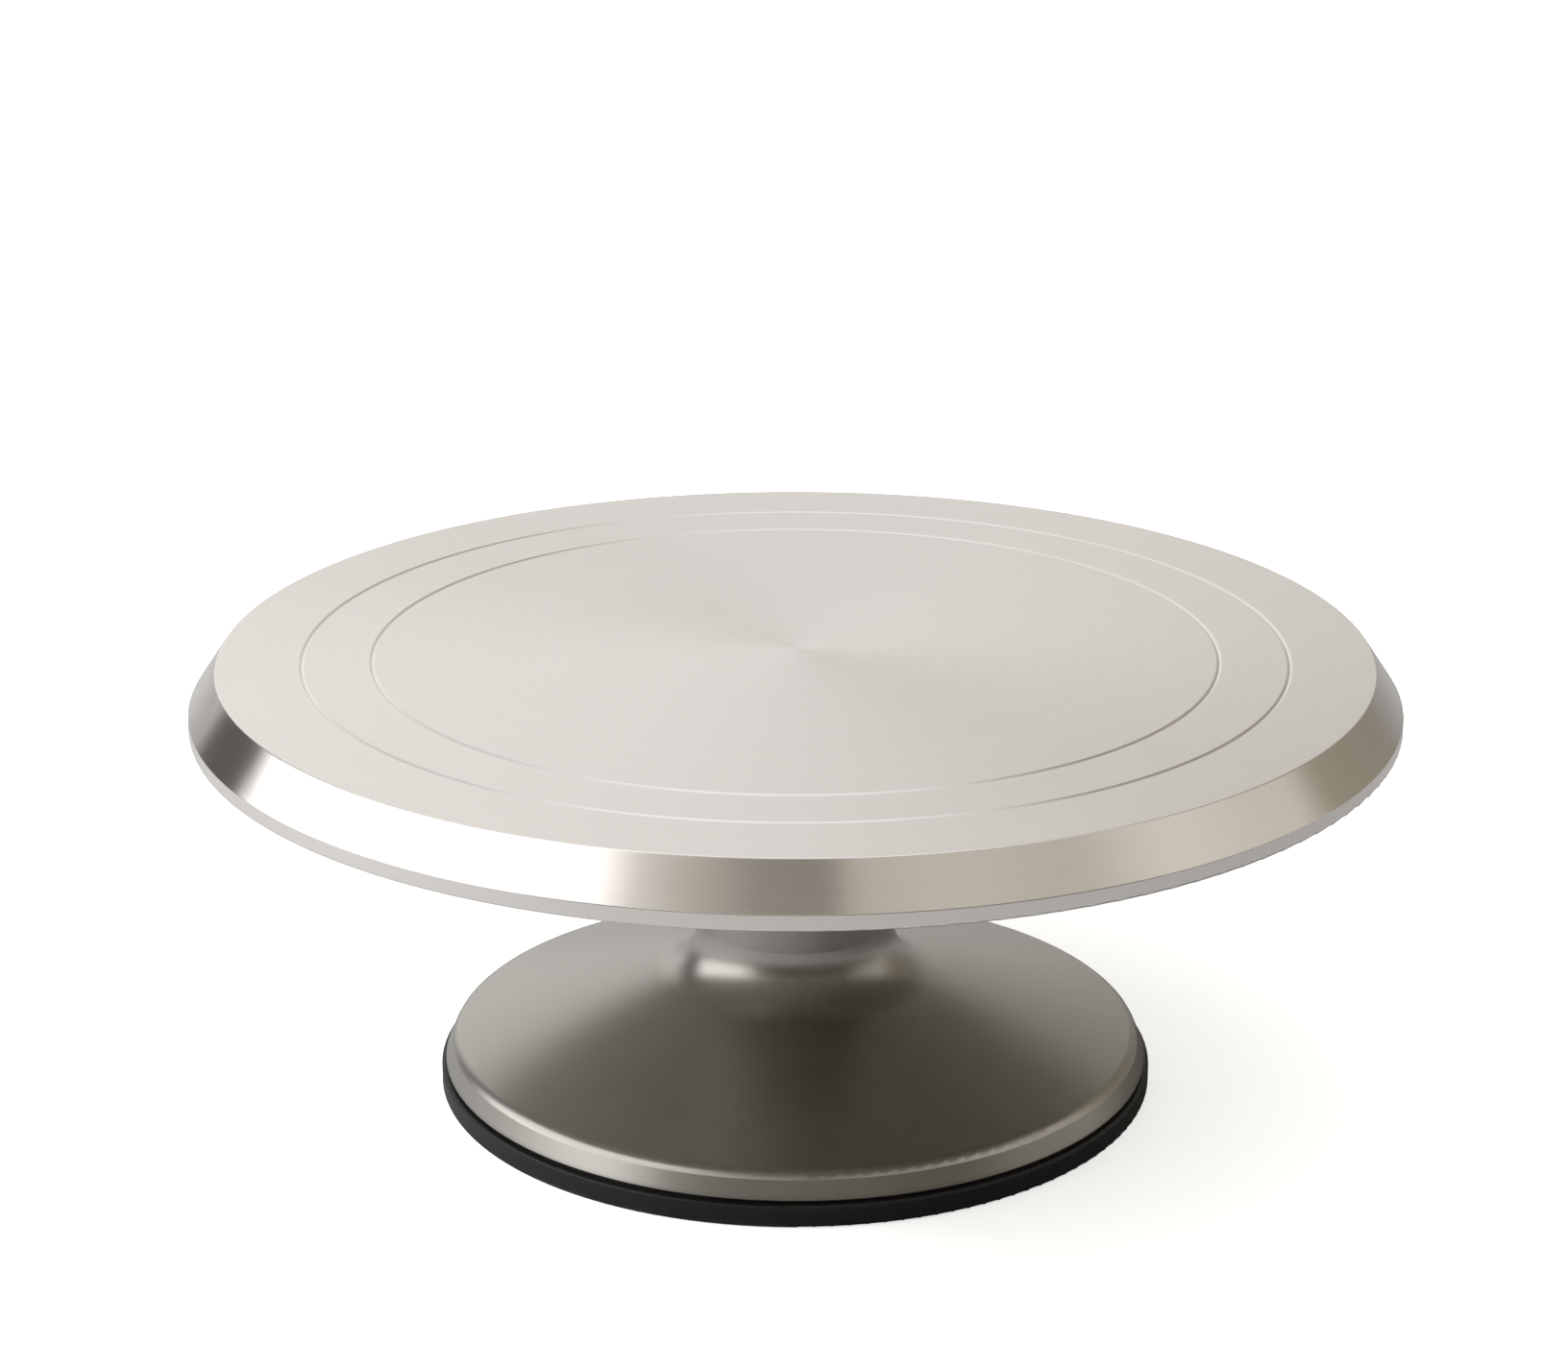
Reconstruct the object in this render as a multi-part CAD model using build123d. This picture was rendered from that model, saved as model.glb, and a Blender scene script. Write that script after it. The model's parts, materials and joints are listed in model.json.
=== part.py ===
from build123d import *
import math
import os

# Cake turntable: a 12 inch turned aluminium plate that spins on a hollow pedestal.
# Millimetres, +Z up. The origin is the middle of the surface that the foot stands on.

# ---------------------------------------------------------------- driving dimensions
HEIGHT = 116.0  # worktop to the plate's cake face
FIT = 0.05  # a seat pressed home is drawn with this much air, so that solids never share space
RUN_GAP = 0.05  # radial running clearance

# plate
PLATE_R = 152.5  # outermost edge of the plate
PLATE_FLAT_R = 145.4  # edge of the flat cake face, where the bevel starts
PLATE_THICK = 3.2
BEVEL_DROP = 10.5  # cake face down to the crease
RIM_DROP = 14.5  # cake face down to the rim's lower edge
RIM_THICK = 3.0
GROOVE_RADII = (106.5, 124.0)  # centring rings cut in the cake face
GROOVE_HALF_WIDTH = 0.65
GROOVE_DEPTH = 0.3
BOSS_GAP = 0.5  # the boss stands this far out past the hub
BOSS_FLARE = 6.0  # and widens by this much where it meets the plate

# pedestal
NECK_R = 25.3
NECK_TOP_Z = 94.0
WALL = 3.0  # wall of the pedestal
FLANGE_SLOPE = 16.5  # degrees that the pedestal's skirt falls away from the neck
SKIRT_R = 84.0  # a radius on the skirt, with its height
SKIRT_Z = 14.3
NECK_SWEEP_R = 15.0  # radius of the hollow curve from neck to skirt
EDGE_R = 91.2  # lower edge of the pedestal
EDGE_Z = 6.6
EDGE_SLOPE = 68.0  # degrees from level
SHOULDER_ROUND = 3.5
SHOULDER_ROUND_INSIDE = 1.0
TONGUE_R = (86.5, 89.5)  # lip of the pedestal that the rubber foot grips
TONGUE_Z = 2.5

# rubber foot
FOOT_R = 92.2
FOOT_INNER_R = 83.5
FOOT_TOP_Z = 5.8
FOOT_INNER_TOP_Z = 8.0
FOOT_GROOVE_RADII = (86.2, 88.0, 89.8)
FOOT_GROOVE_HALF_WIDTH = 0.4
FOOT_GROOVE_DEPTH = 0.5

# spindle and ball bearings, size 6202: 15 x 35 x 11
SPINDLE_R = 7.5
BEARING_R = 17.5
BEARING_W = 11.0
UPPER_BEARING_Z = 84.0  # lower face of each bearing
LOWER_BEARING_Z = 54.0
PITCH_R = 12.5
BALL_R = 2.9765
BALL_COUNT = 8
INNER_RACE_R = 10.5
OUTER_RACE_R = 14.5
CAGE_HALF_THICK = 0.9
CAGE_HALF_HEIGHT = 3.5
CAGE_WEB_HALF = 1.5  # half height of the cage between two balls
CAGE_RELIEF_WIDTH = 2.4
POCKET_GAP = 0.08
SHIELD_SEAT_R = 15.4
SHIELD_T = 0.35
SHIELD_INSET = 0.25
SPACER_R = 9.8
COLLAR_R = 9.6
SPINDLE_END_Z = LOWER_BEARING_Z - 4.5
SPINDLE_WASHER_R = 10.4
SPINDLE_CLIP_Z = (LOWER_BEARING_Z - 2.1, LOWER_BEARING_Z - 1.0)
SPINDLE_CLIP_R = 9.6
SPINDLE_CLIP_GAP = 1.6
SPINDLE_CLIP_EAR_R = 1.5
CLIP_GROOVE_DEPTH = 0.6

# hub and its screws
HUB_BOTTOM_Z = 100.0
HUB_TOP_Z = 106.0
HUB_R = 38.0
SCREW_CIRCLE_R = 31.0
SCREW_COUNT = 4
SCREW_TURN = 45.0  # degrees from +X to the first screw
SCREW_R = 2.5
SCREW_HEAD_R = 4.5
SCREW_HEAD_H = 2.8
SCREW_SOCKET = 3.0  # across flats
SCREW_SOCKET_DEPTH = 1.6
SCREW_TIP_Z = HUB_TOP_Z + 6.5
SCREW_CLEARANCE = 0.25
WASHER_R = 4.9
WASHER_T = 1.0

# bearing housing and what it holds
HOUSING_R = NECK_R - WALL - FIT
HOUSING_TOP_Z = 98.5
HOUSING_BOTTOM_Z = 46.0
SHOULDER_BORE_R = 15.2
HOUSING_CLIP_T = 1.5
HOUSING_CLIP_GROOVE_R = BEARING_R + 1.0
HOUSING_CLIP_INNER_R = 15.6
HOUSING_CLIP_GAP = 5.0
HOUSING_CLIP_EAR_R = 1.7
WAVE_WASHER_H = 1.5
WAVE_WASHER_T = 0.4
WAVE_WASHER_RADII = (14.9, 17.2)
WAVES = 3
UPPER_CLIP_Z = (UPPER_BEARING_Z + BEARING_W, UPPER_BEARING_Z + BEARING_W + HOUSING_CLIP_T)
LOWER_CLIP_Z = (LOWER_BEARING_Z - WAVE_WASHER_H - HOUSING_CLIP_T, LOWER_BEARING_Z - WAVE_WASHER_H)
SET_SCREW_Z = 74.0
SET_SCREW_COUNT = 3
SET_SCREW_TURN = 90.0  # degrees from +X to the first set screw
SET_SCREW_R = 2.0
SET_SCREW_TIP_R = 20.5
SET_SCREW_SUNK = 0.5
SET_SCREW_POINT = 0.6
SET_SCREW_SOCKET = 2.0
CAP_T = 1.5
CAP_LIP = 3.0  # how far the cap's flange stands out, and its skirt stands up
CAP_WALL = 1.2


# ---------------------------------------------------------------- helpers
def turned(points):
    """Solid of revolution about Z from a closed outline of (radius, z) or (radius, z, corner rounding)."""
    face = make_face(Polyline([(p[0], 0, p[1]) for p in points], close=True)).face()
    for radius in sorted({p[2] for p in points if len(p) > 2}):
        corners = [Vector(p[0], 0, p[1]) for p in points if len(p) > 2 and p[2] == radius]
        rounded = [v for v in face.vertices() if any((Vector(v) - c).length < 1e-3 for c in corners)]
        face = face.fillet_2d(radius, rounded)
    return revolve(face, Axis.Z, 360)


def ring(inner, outer, low, high, edge=0.0):
    """Flat ring; edge rounds its four corners."""
    corners = [(inner, low), (outer, low), (outer, high), (inner, high)]
    return turned([(r, z, edge) for r, z in corners] if edge else corners)


def around(shape, count, start=0.0):
    """Copies of a shape spread evenly about Z, as one list."""
    return [Rot(0, 0, start + 360 * i / count) * shape for i in range(count)]


def group(solids):
    """Several separate solids kept together in one node."""
    return Compound(children=[solid for shape in solids for solid in shape.solids()])


def upright(radius, low, high):
    """Cylinder on the Z axis between two heights."""
    return Pos(0, 0, low) * Cylinder(radius, high - low, align=(Align.CENTER, Align.CENTER, Align.MIN))


def hex_socket(across_flats, low, high):
    """Hexagonal wrench socket between two heights."""
    hexagon = RegularPolygon(across_flats / math.sqrt(3), 6)
    return Pos(0, 0, low) * extrude(hexagon, high - low)


# ---------------------------------------------------------------- plate
def make_turntable_plate():
    """Cast and turned plate: flat cake face, bevel, short upright rim, and a boss below for the hub."""
    top = HEIGHT
    under = HEIGHT - PLATE_THICK
    crease = HEIGHT - BEVEL_DROP
    rim_bottom = HEIGHT - RIM_DROP
    bevel_run = PLATE_R - PLATE_FLAT_R
    # the inside of the bevel lies one rim thickness in from the outside, measured square to it
    shift = RIM_THICK * math.hypot(bevel_run, BEVEL_DROP) / BEVEL_DROP
    inside_at_under = PLATE_FLAT_R + bevel_run * PLATE_THICK / BEVEL_DROP - shift
    inner_wall = PLATE_R - RIM_THICK
    inside_crease = under - (inner_wall - inside_at_under) * BEVEL_DROP / bevel_run
    boss_r = HUB_R + BOSS_GAP
    boss_foot = boss_r + BOSS_FLARE
    outline = [
        (0, top),
        (PLATE_FLAT_R, top, 0.45),
        (PLATE_R, crease, 0.5),
        (PLATE_R, rim_bottom, 0.8),
        (inner_wall, rim_bottom, 0.8),
        (inner_wall, inside_crease, 2.0),
        (inside_at_under, under, 2.0),
        (boss_foot, under, 3.0),
        (boss_r, HUB_TOP_Z + 2.0, 1.0),
        (boss_r, HUB_TOP_Z, 0.4),
        (0, HUB_TOP_Z),
    ]
    plate = turned(outline)
    for radius in GROOVE_RADII:
        inside, outside = radius - GROOVE_HALF_WIDTH, radius + GROOVE_HALF_WIDTH
        above = top + GROOVE_DEPTH
        plate -= turned([
            (inside, above),
            (inside, top),
            (radius, top - GROOVE_DEPTH),
            (outside, top),
            (outside, above),
        ])
    tapped = Pos(SCREW_CIRCLE_R, 0, 0) * upright(SCREW_R + FIT, HUB_TOP_Z - 0.5, SCREW_TIP_Z + 0.5)
    return plate - around(tapped, SCREW_COUNT, SCREW_TURN)


# ---------------------------------------------------------------- hub, spindle and hub screws
def make_hub_flange():
    """Turned disc, pressed on the spindle's top, that carries the plate."""
    hub = ring(SPINDLE_R + FIT, HUB_R, HUB_BOTTOM_Z, HUB_TOP_Z, 0.5)
    hole = upright(SCREW_R + SCREW_CLEARANCE, HUB_BOTTOM_Z - 1, HUB_TOP_Z + 1)
    return hub - around(Pos(SCREW_CIRCLE_R, 0, 0) * hole, SCREW_COUNT, SCREW_TURN)


def make_hub_screws():
    """Button-head screws that go up through the hub into the plate's boss."""
    head_top = HUB_BOTTOM_Z - WASHER_T
    head_bottom = head_top - SCREW_HEAD_H
    head = turned([
        (0, head_bottom),
        (SCREW_HEAD_R, head_bottom, 1.6),
        (SCREW_HEAD_R, head_top),
        (0, head_top),
    ])
    screw = head + upright(SCREW_R, head_top, SCREW_TIP_Z)
    screw -= hex_socket(SCREW_SOCKET, head_bottom - 1, head_bottom + SCREW_SOCKET_DEPTH)
    return group(around(Pos(SCREW_CIRCLE_R, 0, 0) * screw, SCREW_COUNT, SCREW_TURN))


def make_hub_screw_washers():
    """Flat washers under the screw heads."""
    washer = ring(SCREW_R + SCREW_CLEARANCE, WASHER_R, HUB_BOTTOM_Z - WASHER_T, HUB_BOTTOM_Z)
    return group(around(Pos(SCREW_CIRCLE_R, 0, 0) * washer, SCREW_COUNT, SCREW_TURN))


def make_spindle():
    """Ground steel spindle with a collar above the upper bearing and a clip groove near its lower end."""
    groove_r = SPINDLE_R - CLIP_GROOVE_DEPTH
    collar_low = UPPER_BEARING_Z + BEARING_W
    return turned([
        (0, SPINDLE_END_Z),
        (SPINDLE_R - 0.8, SPINDLE_END_Z),
        (SPINDLE_R, SPINDLE_END_Z + 0.8),
        (SPINDLE_R, SPINDLE_CLIP_Z[0]),
        (groove_r, SPINDLE_CLIP_Z[0]),
        (groove_r, SPINDLE_CLIP_Z[1]),
        (SPINDLE_R, SPINDLE_CLIP_Z[1]),
        (SPINDLE_R, collar_low),
        (COLLAR_R, collar_low, 0.4),
        (COLLAR_R, HUB_BOTTOM_Z, 0.4),
        (SPINDLE_R, HUB_BOTTOM_Z),
        (SPINDLE_R, HUB_TOP_Z - 0.5),
        (SPINDLE_R - 0.5, HUB_TOP_Z),
        (0, HUB_TOP_Z),
    ])


def make_inner_spacer_sleeve():
    """Tube between the two inner races."""
    return ring(SPINDLE_R + FIT, SPACER_R, LOWER_BEARING_Z + BEARING_W, UPPER_BEARING_Z, 0.3)


def make_spindle_washer():
    """Washer between the lower inner race and its clip."""
    return ring(SPINDLE_R + FIT, SPINDLE_WASHER_R, SPINDLE_CLIP_Z[1], LOWER_BEARING_Z)


def clip(inner, outer, low, high, gap_width, ear_r, ear_at):
    """Flat retaining clip: an open ring with an ear, drilled for pliers, on each side of its gap."""
    body = ring(inner, outer, low, high)
    ear_angle = math.degrees((gap_width / 2 + ear_r * 0.8) / ear_at)
    sides = [Rot(0, 0, side * ear_angle) for side in (-1, 1)]
    for side in sides:
        body += side * Pos(ear_at, 0, 0) * upright(ear_r, low, high)
    body -= Pos(ear_at, 0, (low + high) / 2) * Box(6 * ear_r, gap_width, 2 * (high - low))
    for side in sides:
        body -= side * Pos(ear_at, 0, 0) * upright(ear_r * 0.4, low - 1, high + 1)
    return body


def make_spindle_circlip():
    """Outside clip that keeps the lower inner race on the spindle."""
    low, high = SPINDLE_CLIP_Z
    inner = SPINDLE_R - CLIP_GROOVE_DEPTH + FIT
    outer = SPINDLE_CLIP_R
    return clip(inner, outer, low + FIT, high - FIT, SPINDLE_CLIP_GAP, SPINDLE_CLIP_EAR_R, outer)


# ---------------------------------------------------------------- ball bearings
def race_groove(middle):
    """Round track that the balls run in, as a torus about the spindle."""
    return Pos(0, 0, middle) * Torus(PITCH_R, BALL_R + RUN_GAP)


def make_inner_race(low):
    blank = ring(SPINDLE_R + FIT, INNER_RACE_R, low, low + BEARING_W, 0.3)
    return blank - race_groove(low + BEARING_W / 2)


def make_outer_race(low):
    high = low + BEARING_W
    step = SHIELD_INSET + SHIELD_T
    blank = turned([
        (BEARING_R, low, 0.4),
        (BEARING_R, high, 0.4),
        (SHIELD_SEAT_R, high),
        (SHIELD_SEAT_R, high - step),
        (OUTER_RACE_R, high - step),
        (OUTER_RACE_R, low + step),
        (SHIELD_SEAT_R, low + step),
        (SHIELD_SEAT_R, low),
    ])
    return blank - race_groove(low + BEARING_W / 2)


def make_balls(low):
    ball = Pos(PITCH_R, 0, low + BEARING_W / 2) * Sphere(BALL_R)
    return group(around(ball, BALL_COUNT))


def make_cage(low):
    """Ring that spaces the balls: a ball pocket at each station, relieved above and below in between."""
    middle = low + BEARING_W / 2
    inner, outer = PITCH_R - CAGE_HALF_THICK, PITCH_R + CAGE_HALF_THICK
    outside = upright(outer, middle - CAGE_HALF_HEIGHT, middle + CAGE_HALF_HEIGHT)
    blank = outside - upright(inner, middle - 2 * CAGE_HALF_HEIGHT, middle + 2 * CAGE_HALF_HEIGHT)
    pocket = Pos(PITCH_R, 0, middle) * Rot(0, 90, 0) * Sphere(BALL_R + POCKET_GAP)
    cage = blank - around(pocket, BALL_COUNT)
    relief_height = CAGE_HALF_HEIGHT
    for side in (-1, 1):
        relief_middle = middle + side * (CAGE_WEB_HALF + relief_height / 2)
        relief = Pos(PITCH_R, 0, relief_middle) * Box(4 * CAGE_HALF_THICK, CAGE_RELIEF_WIDTH, relief_height)
        cage -= around(relief, BALL_COUNT, 180 / BALL_COUNT)
    return cage


def make_shields(low):
    """Pressed dust shields, one in each side of the outer race."""
    high = low + BEARING_W
    shields = []
    for base in (low + SHIELD_INSET, high - SHIELD_INSET - SHIELD_T):
        shields.append(ring(INNER_RACE_R + 0.3, SHIELD_SEAT_R - FIT, base, base + SHIELD_T))
    return group(shields)


# ---------------------------------------------------------------- housing and what it holds
def make_bearing_housing():
    """Turned sleeve in the neck, with a bearing seat at each end and a head that sits on the neck."""
    bore = BEARING_R + FIT
    sleeve = turned([
        (bore, HOUSING_BOTTOM_Z),
        (HOUSING_R, HOUSING_BOTTOM_Z, 0.6),
        (HOUSING_R, NECK_TOP_Z),
        (NECK_R, NECK_TOP_Z),
        (NECK_R, HOUSING_TOP_Z, 1.0),
        (bore, HOUSING_TOP_Z),
        (bore, UPPER_BEARING_Z),
        (SHOULDER_BORE_R, UPPER_BEARING_Z),
        (SHOULDER_BORE_R, LOWER_BEARING_Z + BEARING_W),
        (bore, LOWER_BEARING_Z + BEARING_W),
    ])
    for low, high in (UPPER_CLIP_Z, LOWER_CLIP_Z):
        sleeve -= ring(bore - 1.0, HOUSING_CLIP_GROOVE_R, low, high)
    return sleeve - set_screw_bores(SET_SCREW_TIP_R - FIT)


def set_screw_bores(from_radius):
    """Radial holes for the set screws, from a radius outwards."""
    length = NECK_R + 2 - from_radius
    bore = Cylinder(SET_SCREW_R + FIT, length, align=(Align.CENTER, Align.CENTER, Align.MIN))
    placed = Pos(from_radius, 0, SET_SCREW_Z) * Rot(0, 90, 0) * bore
    return around(placed, SET_SCREW_COUNT, SET_SCREW_TURN)


def make_housing_set_screws():
    """Set screws through the neck that hold the housing."""
    length = NECK_R - SET_SCREW_SUNK - SET_SCREW_TIP_R
    screw = turned([
        (0, 0),
        (SET_SCREW_R - SET_SCREW_POINT, 0),
        (SET_SCREW_R, SET_SCREW_POINT),
        (SET_SCREW_R, length),
        (0, length),
    ])
    screw -= hex_socket(SET_SCREW_SOCKET, length / 2, length + 1)
    placed = Pos(SET_SCREW_TIP_R, 0, SET_SCREW_Z) * Rot(0, 90, 0) * screw
    return group(around(placed, SET_SCREW_COUNT, SET_SCREW_TURN))


def make_bearing_circlips():
    """Inside clips that keep both outer races in the housing."""
    inner = HOUSING_CLIP_INNER_R
    outer = HOUSING_CLIP_GROOVE_R - FIT
    clips = []
    for low, high in (UPPER_CLIP_Z, LOWER_CLIP_Z):
        clips.append(clip(inner, outer, low + FIT, high - FIT, HOUSING_CLIP_GAP, HOUSING_CLIP_EAR_R, inner))
    return group(clips)


def make_wave_washer():
    """Spring washer that preloads the lower bearing: a flat ring bent into three waves."""
    swing = (WAVE_WASHER_H - WAVE_WASHER_T) / 2 - FIT
    under = LOWER_BEARING_Z - (WAVE_WASHER_H + WAVE_WASHER_T) / 2
    station_count = 8 * WAVES
    edges = []
    for radius in WAVE_WASHER_RADII:
        path = []
        for station in range(station_count):
            angle = 360 * station / station_count
            lift = swing * math.sin(math.radians(WAVES * angle))
            path.append(Vector(radius, 0, under + lift).rotate(Axis.Z, angle))
        edges.append(Spline(path, periodic=True))
    lower_face = Face.make_surface_from_curves(edges[0], edges[1])
    return extrude(lower_face, WAVE_WASHER_T, dir=(0, 0, 1))


def make_dust_seal():
    """Felt ring in the housing's mouth, close round the spindle's collar."""
    return ring(COLLAR_R + 0.3, BEARING_R, UPPER_CLIP_Z[1], HOUSING_TOP_Z - 0.2, 0.3)


def make_dust_cap():
    """Pressed cap that closes the housing's lower end."""
    outer = BEARING_R
    inner = outer - CAP_WALL
    low = HOUSING_BOTTOM_Z - CAP_T
    high = HOUSING_BOTTOM_Z + CAP_LIP
    return turned([
        (0, low),
        (outer + CAP_LIP, low, 0.6),
        (outer + CAP_LIP, HOUSING_BOTTOM_Z),
        (outer, HOUSING_BOTTOM_Z),
        (outer, high, 0.4),
        (inner, high, 0.4),
        (inner, HOUSING_BOTTOM_Z, 0.6),
        (0, HOUSING_BOTTOM_Z),
    ])


# ---------------------------------------------------------------- pedestal and foot
def make_base_bell():
    """Pedestal shell: upright neck, hollow sweep, straight skirt, rounded shoulder and a lip for the foot."""
    fall = math.tan(math.radians(FLANGE_SLOPE))
    wall_drop = WALL / math.cos(math.radians(FLANGE_SLOPE))
    lean = 1 / math.tan(math.radians(EDGE_SLOPE))

    def skirt_z(radius):
        return SKIRT_Z + (SKIRT_R - radius) * fall

    # the skirt's line and the steep edge's line cross at the shoulder
    shoulder_z = (SKIRT_Z + (SKIRT_R - EDGE_R - EDGE_Z * lean) * fall) / (1 - lean * fall)
    shoulder_r = EDGE_R - (shoulder_z - EDGE_Z) * lean
    neck_inner = NECK_R - WALL
    tongue_inner, tongue_outer = TONGUE_R
    bell = turned([
        (neck_inner, NECK_TOP_Z),
        (NECK_R, NECK_TOP_Z),
        (NECK_R, skirt_z(NECK_R), NECK_SWEEP_R),
        (shoulder_r, shoulder_z, SHOULDER_ROUND),
        (EDGE_R, EDGE_Z, 0.3),
        (tongue_outer, EDGE_Z),
        (tongue_outer, TONGUE_Z),
        (tongue_inner, TONGUE_Z),
        (tongue_inner, skirt_z(tongue_inner) - wall_drop, SHOULDER_ROUND_INSIDE),
        (neck_inner, skirt_z(neck_inner) - wall_drop, NECK_SWEEP_R + WALL),
    ])
    return bell - set_screw_bores(NECK_R - WALL - 1)


def make_foot_ring():
    """Moulded rubber ring that grips the pedestal's lip, with grip grooves below."""
    tongue_inner, tongue_outer = TONGUE_R
    foot = turned([
        (FOOT_INNER_R, 0, 0.8),
        (FOOT_R, 0, 1.0),
        (FOOT_R, FOOT_TOP_Z, 0.7),
        (tongue_outer + FIT, FOOT_TOP_Z),
        (tongue_outer + FIT, TONGUE_Z - FIT),
        (tongue_inner - FIT, TONGUE_Z - FIT),
        (tongue_inner - FIT, FOOT_INNER_TOP_Z),
        (FOOT_INNER_R, FOOT_INNER_TOP_Z, 0.7),
    ])
    for radius in FOOT_GROOVE_RADII:
        inner, outer = radius - FOOT_GROOVE_HALF_WIDTH, radius + FOOT_GROOVE_HALF_WIDTH
        foot -= ring(inner, outer, -FOOT_GROOVE_DEPTH, FOOT_GROOVE_DEPTH)
    return foot


# ---------------------------------------------------------------- write the nodes
NODES = {
    "turntable_plate": make_turntable_plate(),
    "hub_flange": make_hub_flange(),
    "hub_screws": make_hub_screws(),
    "hub_screw_washers": make_hub_screw_washers(),
    "spindle": make_spindle(),
    "inner_spacer_sleeve": make_inner_spacer_sleeve(),
    "spindle_washer": make_spindle_washer(),
    "spindle_circlip": make_spindle_circlip(),
    "bearing_housing": make_bearing_housing(),
    "housing_set_screws": make_housing_set_screws(),
    "bearing_circlips": make_bearing_circlips(),
    "wave_washer": make_wave_washer(),
    "dust_seal": make_dust_seal(),
    "dust_cap": make_dust_cap(),
    "base_bell": make_base_bell(),
    "foot_ring": make_foot_ring(),
}
for place, low in (("upper", UPPER_BEARING_Z), ("lower", LOWER_BEARING_Z)):
    NODES[f"{place}_bearing_inner_race"] = make_inner_race(low)
    NODES[f"{place}_bearing_outer_race"] = make_outer_race(low)
    NODES[f"{place}_bearing_balls"] = make_balls(low)
    NODES[f"{place}_bearing_cage"] = make_cage(low)
    NODES[f"{place}_bearing_shields"] = make_shields(low)

os.makedirs("parts", exist_ok=True)
for name, shape in NODES.items():
    export_step(shape, f"parts/{name}.step")
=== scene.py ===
import json
import math

import bpy
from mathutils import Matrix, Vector


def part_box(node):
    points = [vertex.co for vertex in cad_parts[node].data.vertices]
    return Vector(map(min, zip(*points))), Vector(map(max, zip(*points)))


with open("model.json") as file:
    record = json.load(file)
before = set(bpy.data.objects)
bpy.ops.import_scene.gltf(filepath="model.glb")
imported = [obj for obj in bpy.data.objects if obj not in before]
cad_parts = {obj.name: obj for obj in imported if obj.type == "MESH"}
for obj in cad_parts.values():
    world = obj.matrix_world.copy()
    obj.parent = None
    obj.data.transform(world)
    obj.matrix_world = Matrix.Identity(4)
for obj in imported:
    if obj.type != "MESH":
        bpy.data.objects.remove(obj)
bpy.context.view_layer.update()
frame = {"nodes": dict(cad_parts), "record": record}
NODES = frame["nodes"]
MM = 0.001
MICRON = 1e-6

# The plate, as it is drawn in the CAD
BEVEL_RUN = 7.1 * MM
BEVEL_DROP = 10.5 * MM
RIM_DROP = 14.5 * MM  # cake face down to the rim's lower edge
HALF_RIM_WALL = 1.5 * MM
UNDERSIDE_DROP = 3.0 * MM  # cake face down to where the underside can start

# Other heights that a material changes at
# Below this height the pedestal is painted darker: painted shade in the gap where its lip meets the rubber
# ring
PEDESTAL_PAINTED_SHADE_Z = 7.4 * MM
RUBBER_SCUFF_Z = 0.6 * MM
SCUFF_FADE = 1.2 * MM

# ---------------------------------------------------------------- camera
SENSOR_WIDTH = 36.0
CAMERA_ELEVATION = math.radians(18.55)
CAMERA_DISTANCE = 0.9505
CAMERA_AIM = (-2.9 * MM, 0.0, 109.5 * MM)
CAMERA_LENS = 86.15


def make_camera():
    data = bpy.data.cameras.new("camera")
    data.sensor_width = SENSOR_WIDTH
    data.lens = CAMERA_LENS
    data.clip_start = 0.01
    data.clip_end = 50.0
    camera = bpy.data.objects.new("camera", data)
    camera.location = (
        CAMERA_AIM[0],
        CAMERA_AIM[1] - CAMERA_DISTANCE * math.cos(CAMERA_ELEVATION),
        CAMERA_AIM[2] + CAMERA_DISTANCE * math.sin(CAMERA_ELEVATION),
    )
    camera.rotation_euler = (math.pi / 2 - CAMERA_ELEVATION, 0.0, 0.0)
    bpy.context.scene.collection.objects.link(camera)
    bpy.context.scene.camera = camera


make_camera()
bpy.context.scene.view_settings.view_transform = "Standard"


# ---------------------------------------------------------------- node helpers
class Tree:
    """A node tree being written: each call adds one node and returns its first output."""

    def __init__(self, tree):
        self.tree = tree
        self.tree.nodes.clear()

    def add(self, kind, inputs=None, output=0, **settings):
        node = self.tree.nodes.new(kind)
        for name, value in settings.items():
            setattr(node, name, value)
        for key, value in (inputs or {}).items():
            self.feed(node.inputs[key], value)
        return node.outputs[output] if len(node.outputs) else node

    def feed(self, socket, value):
        if isinstance(value, bpy.types.NodeSocket):
            self.tree.links.new(value, socket)
        else:
            socket.default_value = value

    def axes(self, vector):
        node = self.tree.nodes.new("ShaderNodeSeparateXYZ")
        self.tree.links.new(vector, node.inputs[0])
        return list(node.outputs)

    def math(self, operation, a, b=0.0):
        return self.add("ShaderNodeMath", {0: a, 1: b}, operation=operation)

    def scaled(self, value, low_in, high_in, low_out, high_out):
        keys = {0: value, 1: low_in, 2: high_in, 3: low_out, 4: high_out}
        return self.add("ShaderNodeMapRange", keys, clamp=True)

    def mix(self, factor, a, b):
        return self.add("ShaderNodeMix", {0: factor, 2: a, 3: b})

    def noise(self, vector, scale, detail=2.0, rough=0.5):
        keys = {"Vector": vector, "Scale": scale, "Detail": detail, "Roughness": rough}
        return self.add("ShaderNodeTexNoise", keys)

    def blend(self, factor, a, b):
        return self.add("ShaderNodeMix", {0: factor, 6: a, 7: b}, output=2, data_type="RGBA")

    def ramp(self, value, stops):
        node = self.tree.nodes.new("ShaderNodeValToRGB")
        elements = node.color_ramp.elements
        while len(elements) < len(stops):
            elements.new(0.5)
        for element, (position, shade) in zip(elements, stops):
            element.position = position
            element.color = (*shade, 1.0)
        self.tree.links.new(value, node.inputs[0])
        return node.outputs[0]


def grey(value):
    return (value, value, value, 1.0)


def new_material(name):
    material = bpy.data.materials.new(name)
    material.use_nodes = True
    return material, Tree(material.node_tree)


def finish_material(t, shader):
    t.add("ShaderNodeOutputMaterial", {0: shader})


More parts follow.
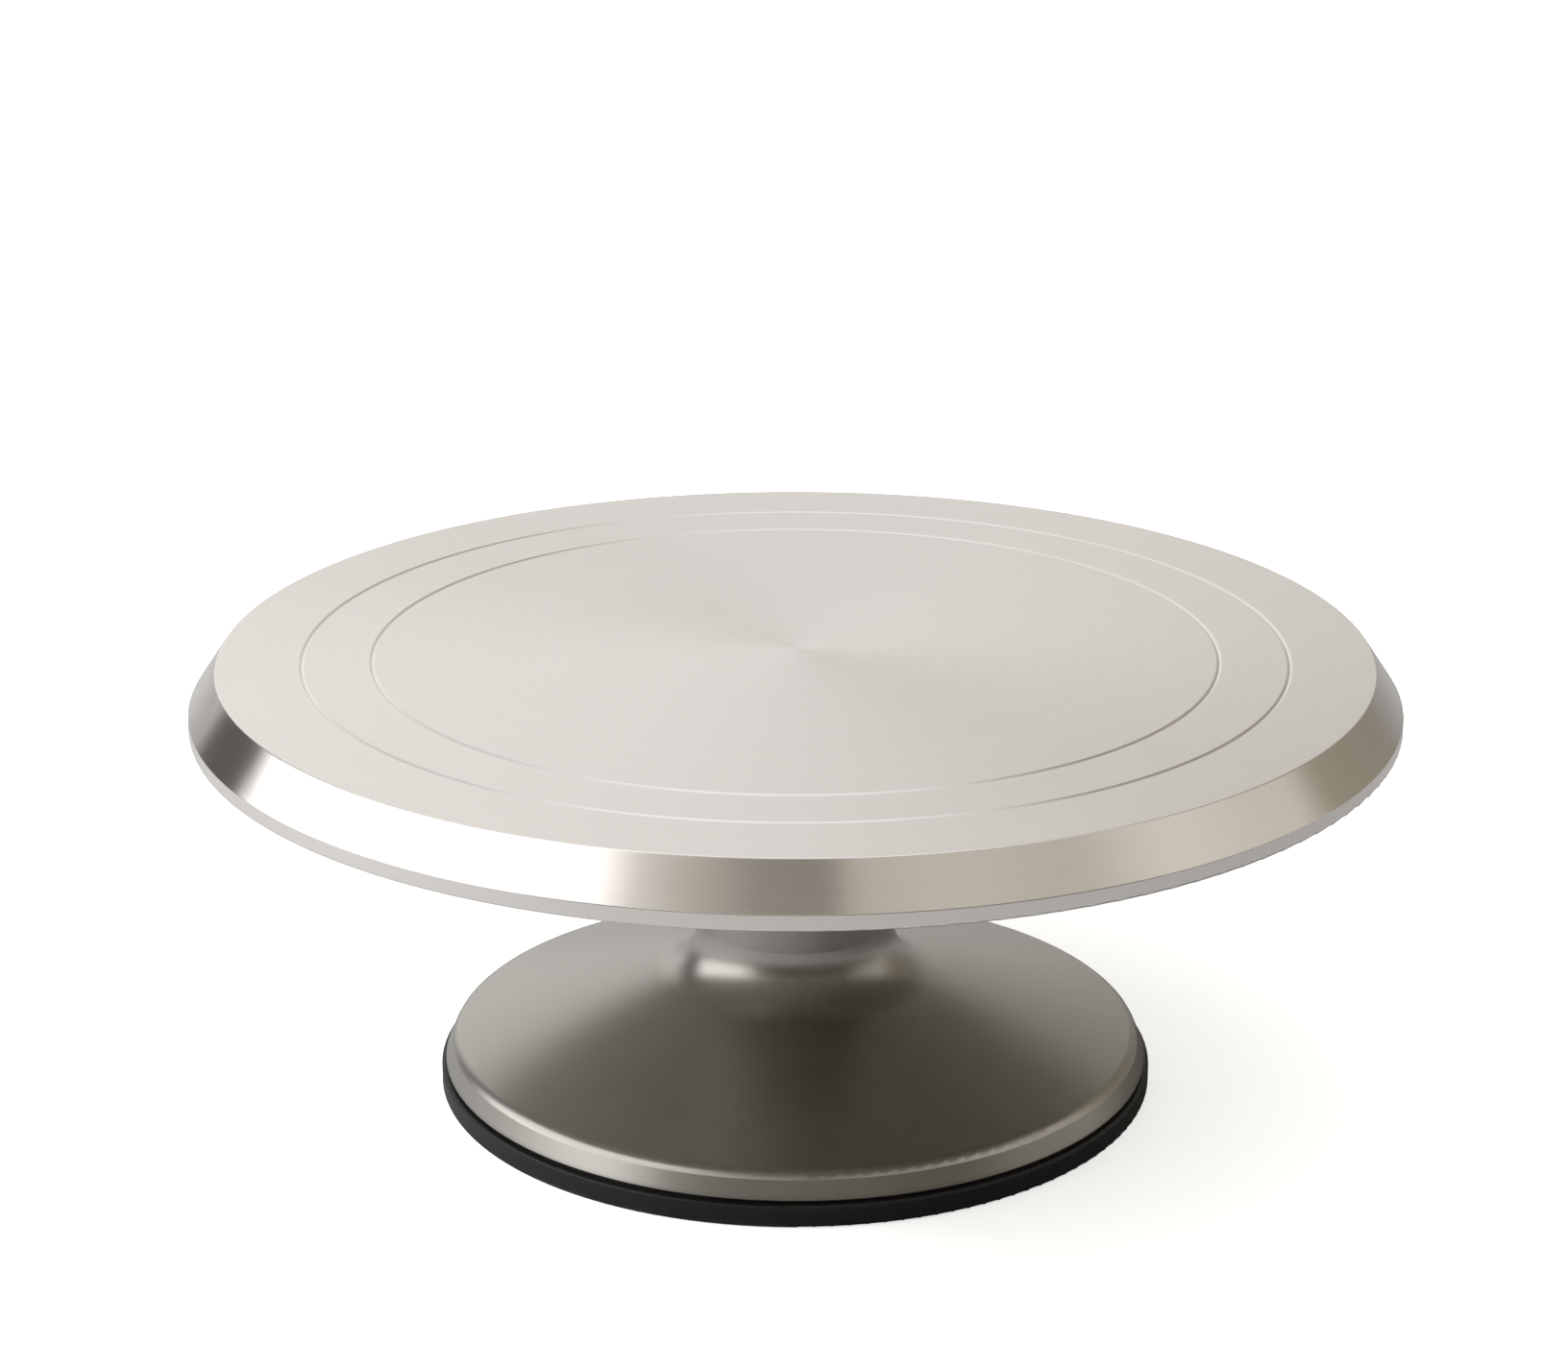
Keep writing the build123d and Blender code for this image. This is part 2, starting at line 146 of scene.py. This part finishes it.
# ---------------------------------------------------------------- studio
# What the metal reflects, by bearing in degrees from the camera's side towards +X: (bearing, level, warmth).
# The fronts are stacked from the floor up, between the same two back corners. A broad soft light stands on
# the left, and a low dark screen in front.
BACK_LEFT = [(-180, 0.80, 0.1), (-162, 0.95, 0.1), (-148, 1.05, 0.1), (-138, 0.08, 0.3), (-122, 0.09, 0.3)]
BACK_RIGHT = [
    (108, 0.64, 0.5), (114, 0.31, 1.0), (142, 0.26, 0.9),
    (156, 0.38, 0.5), (172, 0.68, 0.2), (180, 0.80, 0.1),
]
FRONTS = [
    [(-112, 0.30, 0.5), (-40, 0.20, 0.8), (-20, 0.08, 1.0), (90, 0.12, 1.0)],
    [
        (-116, 2.10, 0.0), (-58, 1.90, 0.0), (-42, 0.22, 0.6),
        (-20, 0.08, 1.0), (60, 0.10, 1.0), (76, 0.52, 0.6),
    ],
    [
        (-116, 1.50, 0.0), (-60, 1.35, 0.0), (-34, 1.05, 0.2),
        (-6, 0.66, 0.5), (50, 0.46, 0.7), (78, 0.72, 0.4),
    ],
    [
        (-116, 1.90, 0.0), (-46, 1.80, 0.0), (-35, 0.50, 0.4), (-24, 0.38, 0.8),
        (-8, 0.15, 1.0), (8, 0.11, 1.0), (12, 0.46, 0.7), (34, 0.58, 0.5),
        (56, 0.58, 0.4), (64, 0.44, 0.5), (84, 0.74, 0.4),
    ],
]
WALLS = [BACK_LEFT + front + BACK_RIGHT for front in FRONTS]
# Sine of the elevation where each wall gives way to the next one up, and the last to the ceiling
WALL_STEPS = [(0.08, 0.16), (0.37, 0.45), (0.60, 0.68), (0.84, 0.93)]
COOL_TINT = (1.0, 0.985, 0.975)
WARM_TINT = (1.0, 0.89, 0.70)
CEILING = 1.05
BACKDROP = 1.0  # what the camera sees behind the floor
FLOOR_SEEN = 0.90
FLOOR_GLOW = 0.66
FLOOR_REFLECTED = 0.33
FLOOR_RADIUS = 8.0
FLOOR_SIDES = 96
FLOOR_DROP = 0.02 * MM  # keeps the floor clear of the foot
KEY_PLACE = (-1.1, -0.05, 1.15)
KEY_AIM = (-0.1, 0.0, 0.0)
KEY_DIAMETER = 0.8
KEY_WATTS = 32.0


def wall_stops(wall):
    """Ramp stops from (bearing, level, warmth) rows."""
    stops = []
    for bearing, level, warmth in wall:
        tint = [cool + (warm - cool) * warmth for cool, warm in zip(COOL_TINT, WARM_TINT)]
        stops.append(((bearing + 180) / 360, tuple(level * c for c in tint)))
    return stops


def make_studio():
    world = bpy.data.worlds.new("studio")
    bpy.context.scene.world = world
    world.use_nodes = True
    t = Tree(world.node_tree)
    east, north, up = t.axes(t.add("ShaderNodeTexCoord", output="Generated"))
    bearing = t.math("ARCTAN2", east, t.math("MULTIPLY", north, -1.0))
    turn = t.scaled(bearing, -math.pi, math.pi, 0.0, 1.0)
    layers = [t.ramp(turn, wall_stops(wall)) for wall in WALLS] + [grey(CEILING)]
    sky = layers[0]
    for step, layer in zip(WALL_STEPS, layers[1:]):
        sky = t.blend(t.scaled(up, *step, 0.0, 1.0), sky, layer)
    backdrop = t.blend(t.add("ShaderNodeLightPath", output="Is Camera Ray"), sky, grey(BACKDROP))
    light = t.add("ShaderNodeBackground", {0: backdrop, 1: 1.0})
    t.add("ShaderNodeOutputWorld", {0: light})


def make_lamp(name, place, diameter, watts, aim):
    """Round soft lamp that points from its place to aim."""
    data = bpy.data.lights.new(name, "AREA")
    data.energy = watts
    data.shape = "DISK"
    data.size = diameter
    lamp = bpy.data.objects.new(name, data)
    lamp.location = place
    lamp.rotation_euler = (Vector(aim) - Vector(place)).to_track_quat("-Z", "Y").to_euler()
    bpy.context.scene.collection.objects.link(lamp)
    return lamp


def make_floor():
    """Pale floor. For looks alone, the camera sees it paler than the metal reflects it."""
    bpy.ops.mesh.primitive_circle_add(
        vertices=FLOOR_SIDES, radius=FLOOR_RADIUS, fill_type="NGON", location=(0, 0, -FLOOR_DROP))
    floor = bpy.context.object
    floor.name = "floor"
    material, t = new_material("floor")
    seen = t.add("ShaderNodeLightPath", output="Is Camera Ray")
    tone = t.blend(seen, grey(FLOOR_REFLECTED), grey(FLOOR_SEEN))
    glow = t.math("MULTIPLY", seen, FLOOR_GLOW)
    shell = t.add("ShaderNodeBsdfPrincipled", {
        "Base Color": tone, "Roughness": 0.8, "Specular IOR Level": 0.2,
        "Emission Color": grey(1.0), "Emission Strength": glow})
    finish_material(t, shell)
    floor.data.materials.append(material)
    return floor


make_studio()
floor = make_floor()
key = make_lamp("floor_key", KEY_PLACE, KEY_DIAMETER, KEY_WATTS, KEY_AIM)
only_floor = bpy.data.collections.new("lit_by_key")
only_floor.objects.link(floor)
key.light_linking.receiver_collection = only_floor


# ---------------------------------------------------------------- materials
def radius_of(t, place):
    x, y = t.axes(place)[:2]
    return t.math("SQRT", t.math("ADD", t.math("MULTIPLY", x, x), t.math("MULTIPLY", y, y)))


def below(t, value, limit, width):
    """1 where value is under limit, 0 over it, with a short ramp of that width between."""
    return t.scaled(value, limit - width, limit + width, 1.0, 0.0)


def lathe_place(t, place):
    """Coordinate that changes across turned lines only: along the radius on a face, along Z on a barrel."""
    z = t.axes(place)[2]
    return t.add("ShaderNodeCombineXYZ", {0: radius_of(t, place), 1: z, 2: 0.0})


def shade(tint, factor):
    return (*(c * factor for c in tint), 1.0)


def plate_aluminium():
    """Turned plate: satin cake face, brighter bevel and rim, duller underside whose darker colour is partly
    an as-cast tint and partly painted shade under the plate.
    """
    material, t = new_material("turned_aluminium")
    place = t.add("ShaderNodeTexCoord", output="Object")
    radius = radius_of(t, place)
    height = t.axes(place)[2]
    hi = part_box("turntable_plate")[1]
    face_edge = hi.x - BEVEL_RUN
    rim_bottom = hi.z - RIM_DROP
    under_top = hi.z - UNDERSIDE_DROP
    # halfway through the rim's wall: along the bevel first, then straight down
    drop = t.math("SUBTRACT", hi.z, height)
    mid_bevel = t.math("ADD", t.math("MULTIPLY", drop, BEVEL_RUN / BEVEL_DROP), face_edge - HALF_RIM_WALL)
    mid_wall = t.math("MINIMUM", mid_bevel, hi.x - HALF_RIM_WALL)
    over_lip = t.math("GREATER_THAN", height, rim_bottom + 0.3 * MM)
    over = t.math("SUBTRACT", 1.0, below(t, height, hi.z - 0.4 * MM, 0.1 * MM))
    face = t.math("MULTIPLY", over, below(t, radius, face_edge + 0.1 * MM, 0.3 * MM))
    inside = t.math("LESS_THAN", radius, mid_wall)
    under = t.math("MULTIPLY", below(t, height, under_top, 0.1 * MM), t.math("MULTIPLY", inside, over_lip))

    tint = (0.88, 0.85, 0.825)
    where = lathe_place(t, place)
    lines = t.noise(where, 3600.0, 3.0, 0.6)
    bands = t.noise(where, 520.0, 3.0, 0.55)
    cloud = t.noise(place, 22.0, 3.0, 0.6)
    cast = t.noise(place, 1400.0, 3.0, 0.65)
    polished = t.blend(t.scaled(bands, 0.35, 0.65, 0.0, 1.0), shade(tint, 0.985), shade(tint, 1.0))
    # Underside colour: partly an as-cast tint and partly painted shade under the plate, which darkens what
    # the pedestal reflects of it
    cast_tint_and_painted_shade = t.blend(t.scaled(cast, 0.35, 0.65, 0.0, 1.0), (0.44, 0.41, 0.35, 1.0), (0.56, 0.52, 0.45, 1.0))
    colour = t.blend(under, polished, cast_tint_and_painted_shade)

    base_rough = t.mix(face, 0.20, 0.30)
    base_rough = t.mix(under, base_rough, 0.50)
    wander = t.scaled(cloud, 0.3, 0.7, -0.02, 0.02)
    fine = t.scaled(lines, 0.25, 0.75, -0.025, 0.025)
    rough = t.math("ADD", base_rough, t.math("ADD", wander, fine))

    turned_bump = t.add("ShaderNodeBump", {"Height": lines, "Strength": 1.0, "Distance": 0.8 * MICRON})
    cast_depth = t.math("MULTIPLY", t.math("MULTIPLY", cast, under), 60 * MICRON)
    bump = t.add("ShaderNodeBump", {
        "Height": cast_depth, "Strength": 1.0, "Distance": 1.0, "Normal": turned_bump})
    tangent = t.add("ShaderNodeTangent", direction_type="RADIAL", axis="Z")
    finish_material(t, t.add("ShaderNodeBsdfPrincipled", {
        "Base Color": colour, "Metallic": 1.0, "Roughness": rough, "Anisotropic": 0.65,
        "Anisotropic Rotation": 0.25, "Normal": bump, "Tangent": tangent}))
    return material


def pedestal_aluminium():
    """Bead-blasted and satin-polished casting: even, soft, with a fine grain and a faint mottle, and painted
    shade darkening it low down where it meets the rubber ring.
    """
    material, t = new_material("satin_aluminium")
    place = t.add("ShaderNodeTexCoord", output="Object")
    height = t.axes(place)[2]
    tint = (0.485, 0.472, 0.446)
    grain = t.noise(place, 2600.0, 2.0, 0.5)
    mottle = t.noise(place, 26.0, 4.0, 0.6)
    polish = t.noise(lathe_place(t, place), 900.0, 2.0, 0.5)
    colour = t.blend(t.scaled(mottle, 0.3, 0.7, 0.0, 1.0), shade(tint, 0.95), shade(tint, 1.02))
    # Painted shade: the colour darkens below the lip height, where the aluminium meets the rubber ring
    painted_shade_low = below(t, height, PEDESTAL_PAINTED_SHADE_Z, 0.5 * MM)
    colour = t.blend(t.math("MULTIPLY", painted_shade_low, 0.35), colour, shade(tint, 0.45))
    rough = t.math("ADD", t.scaled(grain, 0.3, 0.7, 0.30, 0.34), t.scaled(mottle, 0.3, 0.7, -0.015, 0.015))
    fine = t.add("ShaderNodeBump", {"Height": grain, "Strength": 1.0, "Distance": 1.2 * MICRON})
    bump = t.add("ShaderNodeBump", {
        "Height": polish, "Strength": 1.0, "Distance": 1.5 * MICRON, "Normal": fine})
    finish_material(t, t.add("ShaderNodeBsdfPrincipled", {
        "Base Color": colour, "Metallic": 1.0, "Roughness": rough, "Normal": bump}))
    return material


def turned_metal(name, tint, roughness, line_depth, pitch=1800.0):
    """Small lathe-turned part: lines across the radius and along Z, a slightly uneven tone."""
    material, t = new_material(name)
    place = t.add("ShaderNodeTexCoord", output="Object")
    lines = t.noise(lathe_place(t, place), pitch, 3.0, 0.6)
    cloud = t.noise(place, 120.0, 3.0, 0.6)
    colour = t.blend(t.scaled(cloud, 0.3, 0.7, 0.0, 1.0), shade(tint, 0.88), shade(tint, 1.0))
    rough = t.scaled(lines, 0.25, 0.75, roughness - 0.05, roughness + 0.05)
    bump = t.add("ShaderNodeBump", {"Height": lines, "Strength": 1.0, "Distance": line_depth})
    tangent = t.add("ShaderNodeTangent", direction_type="RADIAL", axis="Z")
    finish_material(t, t.add("ShaderNodeBsdfPrincipled", {
        "Base Color": colour, "Metallic": 1.0, "Roughness": rough, "Anisotropic": 0.5,
        "Anisotropic Rotation": 0.25, "Normal": bump, "Tangent": tangent}))
    return material


def plated_steel(name, tint, second_tint, roughness, depth):
    """Pressed, plated or blackened steel: cloudy tone between two tints and a fine skin."""
    material, t = new_material(name)
    place = t.add("ShaderNodeTexCoord", output="Object")
    cloud = t.noise(place, 260.0, 4.0, 0.6)
    skin = t.noise(place, 4200.0, 2.0, 0.5)
    colour = t.blend(t.scaled(cloud, 0.32, 0.68, 0.0, 1.0), shade(tint, 1.0), shade(second_tint, 1.0))
    rough = t.scaled(cloud, 0.3, 0.7, roughness - 0.06, roughness + 0.06)
    bump = t.add("ShaderNodeBump", {"Height": skin, "Strength": 1.0, "Distance": depth})
    finish_material(t, t.add("ShaderNodeBsdfPrincipled", {
        "Base Color": colour, "Metallic": 1.0, "Roughness": rough, "Normal": bump}))
    return material


def moulded(name, tint, dust, roughness, grain_scale, depth, scuff_height):
    """Moulded rubber or plastic: fine grain, faint flow bands, and a dusty scuff low down."""
    material, t = new_material(name)
    place = t.add("ShaderNodeTexCoord", output="Object")
    height = t.axes(place)[2]
    grain = t.noise(place, grain_scale, 3.0, 0.6)
    patch = t.noise(place, 90.0, 4.0, 0.65)
    flow = t.noise(lathe_place(t, place), 700.0, 2.0, 0.5)
    low = below(t, height, scuff_height, SCUFF_FADE)
    worn = t.math("MULTIPLY", low, t.scaled(patch, 0.42, 0.7, 0.0, 0.8))
    colour = t.blend(worn, t.blend(t.scaled(flow, 0.3, 0.7, 0.0, 1.0), shade(tint, 0.85), shade(tint, 1.15)),
                     shade(dust, 1.0))
    rough = t.math("ADD", t.scaled(grain, 0.3, 0.7, roughness - 0.05, roughness + 0.05),
                   t.math("MULTIPLY", worn, 0.2))
    fine = t.add("ShaderNodeBump", {"Height": grain, "Strength": 1.0, "Distance": depth})
    bump = t.add("ShaderNodeBump", {"Height": flow, "Strength": 1.0, "Distance": depth, "Normal": fine})
    finish_material(t, t.add("ShaderNodeBsdfPrincipled", {
        "Base Color": colour, "Roughness": rough, "Specular IOR Level": 0.5, "Normal": bump}))
    return material


def pressed_felt(name, tint):
    """Wool felt: matted fibres with a soft sheen."""
    material, t = new_material(name)
    place = t.add("ShaderNodeTexCoord", output="Object")
    fibres = t.noise(place, 1500.0, 6.0, 0.75)
    tufts = t.noise(place, 300.0, 4.0, 0.6)
    colour = t.blend(t.scaled(fibres, 0.35, 0.65, 0.0, 1.0), shade(tint, 0.6), shade(tint, 1.25))
    height = t.math("ADD", fibres, tufts)
    bump = t.add("ShaderNodeBump", {"Height": height, "Strength": 1.0, "Distance": 120 * MICRON})
    finish_material(t, t.add("ShaderNodeBsdfPrincipled", {
        "Base Color": colour, "Roughness": 0.95, "Sheen Weight": 0.4, "Sheen Roughness": 0.5,
        "Normal": bump}))
    return material


MATERIALS = {
    "turned_aluminium": plate_aluminium(),
    "satin_aluminium": pedestal_aluminium(),
    "machined_aluminium": turned_metal("machined_aluminium", (0.78, 0.775, 0.765), 0.32, 5 * MICRON),
    "ground_steel": turned_metal("ground_steel", (0.60, 0.60, 0.61), 0.26, 2 * MICRON, 3500.0),
    "bearing_steel": turned_metal("bearing_steel", (0.66, 0.67, 0.68), 0.13, 0.4 * MICRON, 4500.0),
    "pressed_steel": plated_steel("pressed_steel", (0.56, 0.56, 0.56), (0.66, 0.66, 0.65), 0.30, 1 * MICRON),
    "spring_steel": plated_steel("spring_steel", (0.13, 0.13, 0.15), (0.22, 0.21, 0.21), 0.38, 1.5 * MICRON),
    "zinc_steel": plated_steel("zinc_steel", (0.64, 0.66, 0.70), (0.74, 0.73, 0.70), 0.27, 1 * MICRON),
    "black_oxide_steel": plated_steel(
        "black_oxide_steel", (0.04, 0.04, 0.045), (0.09, 0.085, 0.08), 0.42, 2 * MICRON),
    "black_rubber": moulded(
        "black_rubber", (0.011, 0.011, 0.0115), (0.10, 0.095, 0.09), 0.48, 2200.0, 6 * MICRON,
        RUBBER_SCUFF_Z),
    "black_plastic": moulded(
        "black_plastic", (0.025, 0.025, 0.027), (0.06, 0.06, 0.06), 0.42, 1800.0, 10 * MICRON, 0.0),
    "felt": pressed_felt("felt", (0.30, 0.29, 0.27)),
}
for row in frame["record"]["subparts"]:
    node = NODES[row["node"]]
    node.data.materials.clear()
    node.data.materials.append(MATERIALS[row["material_slot"]])
